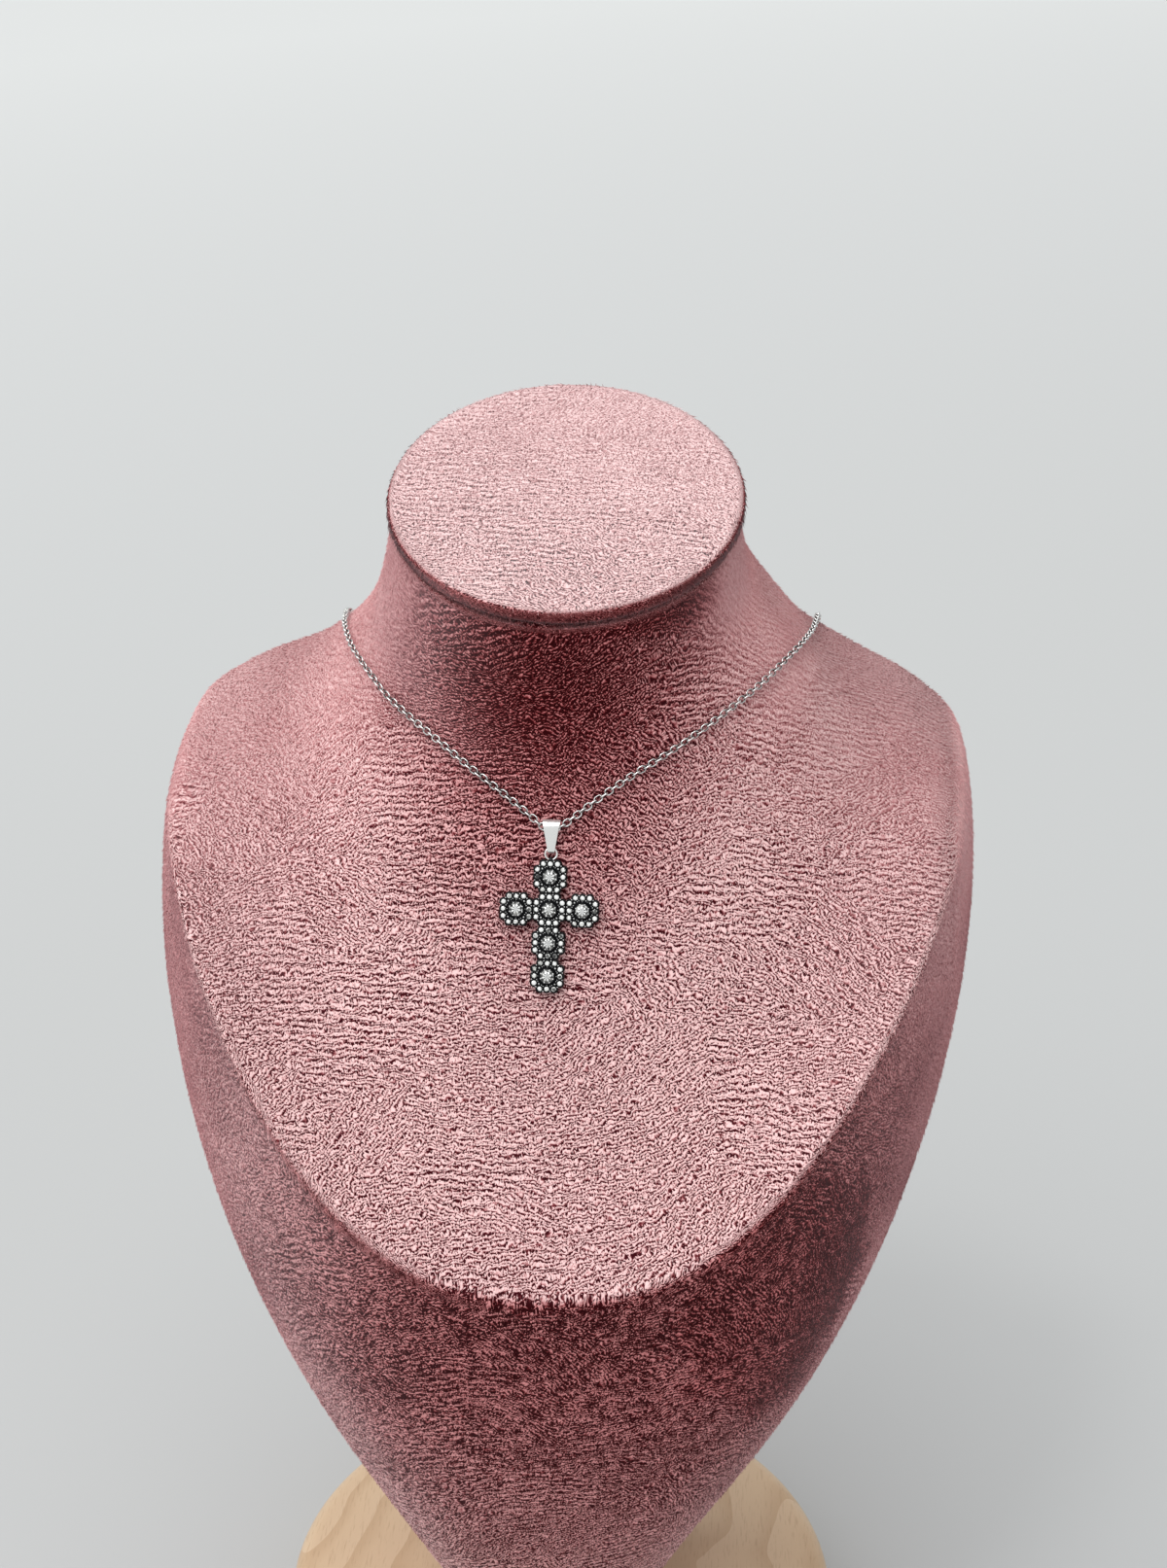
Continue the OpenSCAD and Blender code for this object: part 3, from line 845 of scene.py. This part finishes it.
bail_foot_y = bail_tip.x - bail_tip_r
bail_l = bail_fold.x + bail_fold_r - bail_foot_y
strip = bmesh.new()
loops = []
for inset in (0, bail_t):
    line = strip_line(inset)
    for side in (-1, 1):
        row = []
        for y, z in line:
            share = (y - bail_foot_y) / bail_l
            half_w = (bail_tip_w + (bail_top_w - bail_tip_w) * share) / 2
            row.append(strip.verts.new((side * half_w, y, z)))
        loops.append([strip.edges.new((row[k], row[(k + 1) % len(row)])) for k in range(len(row))])
for a, b in ((0, 1), (2, 3), (0, 2), (1, 3)):
    bmesh.ops.bridge_loops(strip, edges=loops[a] + loops[b])
bmesh.ops.recalc_face_normals(strip, faces=strip.faces)
corners = [e for e in strip.edges if e.calc_face_angle() > math.radians(50)]
bmesh.ops.bevel(
    strip, geom=corners, affect="EDGES", offset=bail_ease, offset_type="OFFSET", segments=3,
    profile=0.5, clamp_overlap=True, material=-1)
strip.transform(on_chest)
make_piece("bail_strip", strip, [bail_steel], ["bail"], sharp=50)

# Jump ring
# One turn of round steel wire, bent shut, that joins the bail to the eye of the cross.
jump = ring_shape(jump_ring_r, jump_wire, 40, 12)
jump.transform(on_chest @ Matrix.Translation((0, ring_y, ring_z)))
make_piece("jump_ring_wire", jump, [bail_steel], ["jump_ring"], sharp=60)

# Cross casting
# One casting in white metal, blackened and then rubbed, so that rims and grains shine and the
# ground stays dark. Every stone sits in a collar, each middle stone in a raised cup, and grains
# of metal stand between the stones. An eye at the top takes the jump ring.
stone_step = 1.55
small_r = 0.66
centre_r = 1.45
plate_top = 2.0
scallop_steps = 120
# The rim's heights, how far it is drawn in at each, and how far it is rubbed there
rim_profile = [
    (above_velvet, 0.12, 0.05), (above_velvet + 0.1, 0.0, 0.05), (plate_top - 0.24, 0.0, 0.12),
    (plate_top - 0.08, 0.05, 0.34), (plate_top, 0.2, 0.16)]
cup_top = 2.35
claws = 8
claw_r = 0.17
claw_reach = 1.02 * centre_r
claw_z = cup_top + 0.1
# How far across and along its quarter each grain stands, and its radius
grains = [
    (row_reach - 0.58, 0.5 * stone_step, 0.17), (row_reach - 0.58, -0.5 * stone_step, 0.17),
    (row_reach + 0.52, 0.5 * stone_step, 0.2), (row_reach + 0.52, -0.5 * stone_step, 0.2),
    (1.72, 1.72, 0.26), (2.36, 2.36, 0.2), (2.0, 0.0, 0.12), (1.98, 1.12, 0.13), (1.98, -1.12, 0.13),
]
clusters = [(0, 1), (-1, 0), (0, 0), (1, 0), (0, -1), (0, -2)]
middles = [Vector((x * pitch, y * pitch, 0)) for x, y in clusters]


def turned_about(quarter, x, y):
    """A place in a cluster, turned by a number of quarter turns."""
    for _ in range(quarter):
        x, y = -y, x
    return Vector((x, y, 0))


stone_ring = [
    turned_about(quarter, row_reach, n * stone_step) for quarter in range(4) for n in (-1, 0, 1)]
small_places = [middle + spot for middle in middles for spot in stone_ring]

antiqued, shader = new_material("antiqued_metal", Metallic=1.0)
place = millimetres(antiqued)
worn = add(antiqued, "Attribute", {}, attribute_name="worn").outputs["Fac"]
cloud = add(antiqued, "TexNoise", {"Vector": place, "Scale": 2.2, "Detail": 4.0}).outputs["Fac"]
cloudy = times(antiqued, minus(antiqued, cloud, 0.5), 0.5)
rubbed = math_node(antiqued, "ADD", worn, cloudy, clamp=True)
metal_tone = ramp(
    antiqued, rubbed, (0.25, (0.010, 0.010, 0.011)), (0.55, (0.09, 0.09, 0.09)),
    (0.85, (0.84, 0.84, 0.83)))
feed(shader, "Base Color", metal_tone)
feed(shader, "Roughness", ramp(antiqued, rubbed, (0.1, 0.5), (0.9, 0.24)))
pitting = add(antiqued, "TexNoise", {"Vector": place, "Scale": 6.0, "Detail": 3.0}).outputs["Fac"]
feed(shader, "Normal", bump(antiqued, pitting, 0.25, 0.00006))

# The plate is scalloped round its small stones, cluster by cluster. Its outline is found once,
# and is drawn in a little at the back and at the front, where the rim is eased
casting = bmesh.new()
wear = casting.verts.layers.float.new("worn")
scallop = []
for k in range(scallop_steps):
    turn = 2 * math.pi * k / scallop_steps
    ray = Vector((math.cos(turn), math.sin(turn), 0))
    aside = [spot.cross(ray).z for spot in stone_ring]
    reach = max(
        spot.dot(ray) + math.sqrt(plate_rim ** 2 - off ** 2)
        for spot, off in zip(stone_ring, aside) if abs(off) < plate_rim)
    scallop.append((ray, reach))
for middle in middles:
    rounds = []
    for z, inset, rubbing in rim_profile:
        rounds.append([
            casting.verts.new(middle + (reach - inset) * ray + Vector((0, 0, z)))
            for ray, reach in scallop])
        for vert in rounds[-1]:
            vert[wear] = rubbing
    for low, high in zip(rounds, rounds[1:]):
        for k in range(scallop_steps):
            after = (k + 1) % scallop_steps
            casting.faces.new((low[k], low[after], high[after], high[k]))
    casting.faces.new(rounds[0][::-1])
    casting.faces.new(rounds[-1])


def stamp(target, shape, where, wear_of):
    """Adds a copy of a shape at a place, and says how far each of its points is rubbed."""
    start = len(target.verts)
    target.from_mesh(shape)
    target.verts.ensure_lookup_table()
    added = target.verts[start:]
    layer = target.verts.layers.float["worn"]
    for vert in added:
        vert[layer] = wear_of(vert.co)
    bmesh.ops.transform(target, matrix=where, verts=added)


collar = as_mesh(lathe(
    [(small_r + 0.05, -0.5), (small_r + 0.05, 0.0), (small_r + 0.01, 0.10), (small_r - 0.05, 0.12),
     (small_r - 0.10, 0.08), (small_r - 0.11, -0.02), (small_r - 0.14, -0.5),
     (small_r + 0.05, -0.5)], 18))
for spot in small_places:
    stamp(casting, collar, Matrix.Translation(spot + Vector((0, 0, plate_top))),
          lambda co: 0.42 if co.z > 0.11 else 0.08)

cup = as_mesh(lathe(
    [(centre_r + 0.42, -0.5), (centre_r + 0.34, -0.22), (centre_r + 0.26, -0.1),
     (centre_r + 0.24, 0.02), (centre_r + 0.12, 0.12), (centre_r - 0.02, 0.1),
     (centre_r - 0.06, 0.0), (centre_r - 0.08, -0.5), (centre_r + 0.42, -0.5)], 36))
bead = bmesh.new()
bmesh.ops.create_icosphere(bead, subdivisions=2, radius=1)
bead_mesh = as_mesh(bead)
for middle in middles:
    stamp(casting, cup, Matrix.Translation(middle + Vector((0, 0, cup_top))),
          lambda co: 0.5 if co.z > 0.05 else 0.1)
    for k in range(claws):
        turn = 2 * math.pi * (k + 0.5) / claws
        claw = middle + Vector((claw_reach * math.cos(turn), claw_reach * math.sin(turn), claw_z))
        stamp(casting, bead_mesh, Matrix.Translation(claw) @ Matrix.Scale(claw_r, 4),
              lambda co: 0.85)

for middle in middles:
    for quarter in range(4):
        for x, y, r in grains:
            spot = middle + turned_about(quarter, x, y) + Vector((0, 0, plate_top + 0.02))
            stamp(casting, bead_mesh,
                  Matrix.Translation(spot) @ Matrix.Diagonal((r, r, r * 0.95, 1)),
                  lambda co: 0.25 + 0.55 * max(0.0, co.z))

eye = as_mesh(lathe(
    [(0.32, -0.3), (0.36, -0.38), (0.45, -0.42), (0.55, -0.38), (0.65, -0.25), (0.68, 0.0),
     (0.65, 0.25), (0.55, 0.38), (0.45, 0.42), (0.36, 0.38), (0.32, 0.3), (0.30, 0.0), (0.32, -0.3)],
    28))
stamp(casting, eye,
      Matrix.Translation((0, eye_y, ring_z)) @ Matrix.Rotation(math.pi / 2, 4, "Y"),
      lambda co: 0.35)
casting.transform(on_chest)
make_piece("cross_casting", casting, [antiqued], ["cross"], sharp=35)

# Cut stones
# Clear glass, cut and polished, with foil behind, whose reflections are painted on: most facets
# flash white and a few stay dark. A middle stone shows a painted star of eight reflected rays in
# its table. Each stone sits in its collar.
stone_glass, shader = new_material(
    "foiled_glass", Roughness=0.12, Metallic=0.25, IOR=1.56, Coat_Weight=1.0, Coat_Roughness=0.03,
    Coat_IOR=1.56)
place = millimetres(stone_glass)
painted_flash = add(stone_glass, "Attribute", {}, attribute_name="painted_flash").outputs["Fac"]
flash_noise = add(stone_glass, "TexNoise", {"Vector": place, "Scale": 2.5, "Detail": 2.0}).outputs["Fac"]
painted_flashing = plus(stone_glass, painted_flash, times(stone_glass, minus(stone_glass, flash_noise, 0.5), 0.5))
painted_stone_light = ramp(
    stone_glass, painted_flashing, (0.15, (0.012, 0.012, 0.013)), (0.38, (0.14, 0.14, 0.13)),
    (0.62, (0.72, 0.72, 0.68)), (0.85, (0.98, 0.98, 0.96)))
feed(shader, "Base Color", painted_stone_light)

table_part = 0.56
crown_part = 0.17
girdle_part = 0.03
pavilion_part = 0.42
ray_share = 0.6
stone_gap = 0.04
stone_lean = 2.2


def polar(radius, turn, z):
    """A point at a number of eighth turns."""
    return Vector((radius * math.cos(turn * math.pi / 4), radius * math.sin(turn * math.pi / 4), z))


def brilliant(r, full):
    """A round stone of radius r about its girdle, with the short facets and the star if full.

    Each facet has its own painted reflection, from dark at 0 to flashing white at 1."""
    made = bmesh.new()
    painted_flash_of = made.faces.layers.float.new("painted_flash")

    def facet(corners, light):
        made.faces.new(corners)[painted_flash_of] = light

    g = girdle_part * r
    top = g + 2 * crown_part * r
    low = -g - 2 * pavilion_part * r
    half_turn = math.cos(math.pi / 8)
    table = [made.verts.new(polar(r * table_part, k + 0.5, top)) for k in range(8)]
    upper = [made.verts.new(polar(r, k / 2, g)) for k in range(16)]
    lower = [made.verts.new(polar(r, k / 2, -g)) for k in range(16)]
    culet = made.verts.new((0, 0, low))
    if full:
        # The star of painted reflections: bright rays with narrow dark ones between, all in the flat
        # table
        heart = made.verts.new((0, 0, top))
        ray_r = r * table_part * half_turn / math.cos(ray_share * math.pi / 8)
        ray_ends = []
        for k in range(8):
            low_side = made.verts.new(polar(ray_r, k - ray_share / 2, top))
            high_side = made.verts.new(polar(ray_r, k + ray_share / 2, top))
            ray_ends.append((high_side, low_side))
            facet((heart, low_side, high_side), 0.95)
            facet((heart, table[k - 1], low_side), 0.0)
            facet((heart, high_side, table[k]), 0.0)
        reach = 0.8 * r
        slope = (top - g) / (r - r * table_part)
        knee_z = top - slope * (reach * half_turn - r * table_part)
        knees = [made.verts.new(polar(reach, k, knee_z)) for k in range(8)]
        foot_reach = 0.3 * r
        foot_z = low + (-g - low) / r * foot_reach * half_turn
        feet = [made.verts.new(polar(foot_reach, k, foot_z)) for k in range(8)]
    else:
        facet(table, 0.85)
    for k in range(8):
        n = (k + 1) % 8
        a, b, c = 2 * k, 2 * k + 1, (2 * k + 2) % 16
        if full:
            facet((table[k - 1], knees[k], table[k], *ray_ends[k]), 0.75)
            facet((table[k], knees[k], upper[b], knees[n]), 0.12)
            facet((knees[k], upper[a], upper[b]), 0.8)
            facet((knees[n], upper[b], upper[c]), 0.5)
            facet((culet, feet[n], lower[b], feet[k]), 0.5)
            facet((feet[k], lower[b], lower[a]), 0.5)
            facet((feet[n], lower[c], lower[b]), 0.5)
        else:
            facet((table[k - 1], upper[a], table[k]), 0.75)
            facet((table[k], upper[a], upper[b]), 0.6)
            facet((table[k], upper[b], upper[c]), 0.6)
            facet((culet, lower[c], lower[b], lower[a]), 0.5)
        facet((upper[a], lower[a], lower[b], upper[b]), 0.4)
        facet((upper[b], lower[b], lower[c], upper[c]), 0.4)
    bmesh.ops.recalc_face_normals(made, faces=made.faces)
    return as_mesh(made)


def set_stones(name, shape, places, height, uneven, replaced):
    """Sets copies of a stone, each turned and tilted its own way, with painted facet reflections that
    flash unevenly.
    """
    made = bmesh.new()
    for spot in places:
        start = len(made.verts)
        first_face = len(made.faces)
        made.from_mesh(shape)
        made.verts.ensure_lookup_table()
        made.faces.ensure_lookup_table()
        painted_flash_of = made.faces.layers.float["painted_flash"]
        stone_flash_shift = chance.gauss(0, 0.6 * uneven)
        for face in made.faces[first_face:]:
            face[painted_flash_of] += stone_flash_shift + chance.gauss(0, uneven)
        tilt = Matrix.Rotation(math.radians(chance.gauss(0, stone_lean)), 4, "X")
        tilt = tilt @ Matrix.Rotation(math.radians(chance.gauss(0, stone_lean)), 4, "Y")
        tilt = tilt @ Matrix.Rotation(chance.uniform(0, math.pi / 4), 4, "Z")
        where = Matrix.Translation(spot + Vector((0, 0, height)))
        bmesh.ops.transform(made, matrix=where @ tilt, verts=made.verts[start:])
    made.transform(on_chest)
    make_piece(name, made, [stone_glass], replaced, sharp=1)


middle_cut = brilliant(centre_r, True)
for k, middle in enumerate(middles):
    set_stones(
        f"middle_stone_{k + 1}", middle_cut, [middle], height=cup_top - 0.07, uneven=0.12,
        replaced=[f"centre_stone_{k + 1}"])
set_stones(
    "small_cut_stones", brilliant(small_r - stone_gap, False), small_places,
    height=plate_top - 0.05, uneven=0.3, replaced=["small_stones"])

# Studio
# A wide pale floor, a big soft lamp overhead, a little in front and to the left, a small one
# beside it that glints on metal and stones, and a pale room.
floor_half = 9
paper_span = 4000.0
overhead_way = Vector((0.34, 0.28, -1))
glint_way = Vector((0.3, 0.45, -1))

paper, shader = new_material("pale_paper", Roughness=0.9, Specular_IOR_Level=0.2)
spot = add(paper, "SeparateXYZ", {0: millimetres(paper)}).outputs
# Light is painted on the paper: it is paler far behind the bust, and to the left
far = math_node(paper, "DIVIDE", minus(paper, spot["Y"], spot["X"]), paper_span)
painted_paper_light = ramp(
    paper, far, (0.0, (0.468, 0.476, 0.475)), (0.14, (0.478, 0.485, 0.482)),
    (0.38, (0.512, 0.520, 0.518)), (1.0, (0.585, 0.595, 0.589)))
feed(shader, "Base Color", painted_paper_light)
floor_shape = bmesh.new()
bmesh.ops.create_grid(floor_shape, x_segments=1, y_segments=1, size=floor_half)
floor_mesh = as_mesh(floor_shape)
floor_mesh.materials.append(paper)
floor = bpy.data.objects.new("floor", floor_mesh)
bpy.context.scene.collection.objects.link(floor)

sky = bpy.data.lights.new("overhead", "SUN")
sky.energy = 2.25
sky.angle = math.radians(75)
overhead = bpy.data.objects.new("overhead", sky)
overhead.rotation_euler = overhead_way.to_track_quat("-Z", "Y").to_euler()
bpy.context.scene.collection.objects.link(overhead)
glint = bpy.data.lights.new("glint", "SUN")
glint.energy = 0.3
glint.angle = math.radians(9)
lamp = bpy.data.objects.new("glint", glint)
lamp.rotation_euler = glint_way.to_track_quat("-Z", "Y").to_euler()
bpy.context.scene.collection.objects.link(lamp)
room = bpy.data.worlds.new("room")
room.use_nodes = True
room.node_tree.nodes["Background"].inputs["Color"].default_value = (0.93, 0.95, 0.96, 1)
room.node_tree.nodes["Background"].inputs["Strength"].default_value = 0.64
bpy.context.scene.world = room
bpy.context.scene.view_settings.view_transform = "Standard"
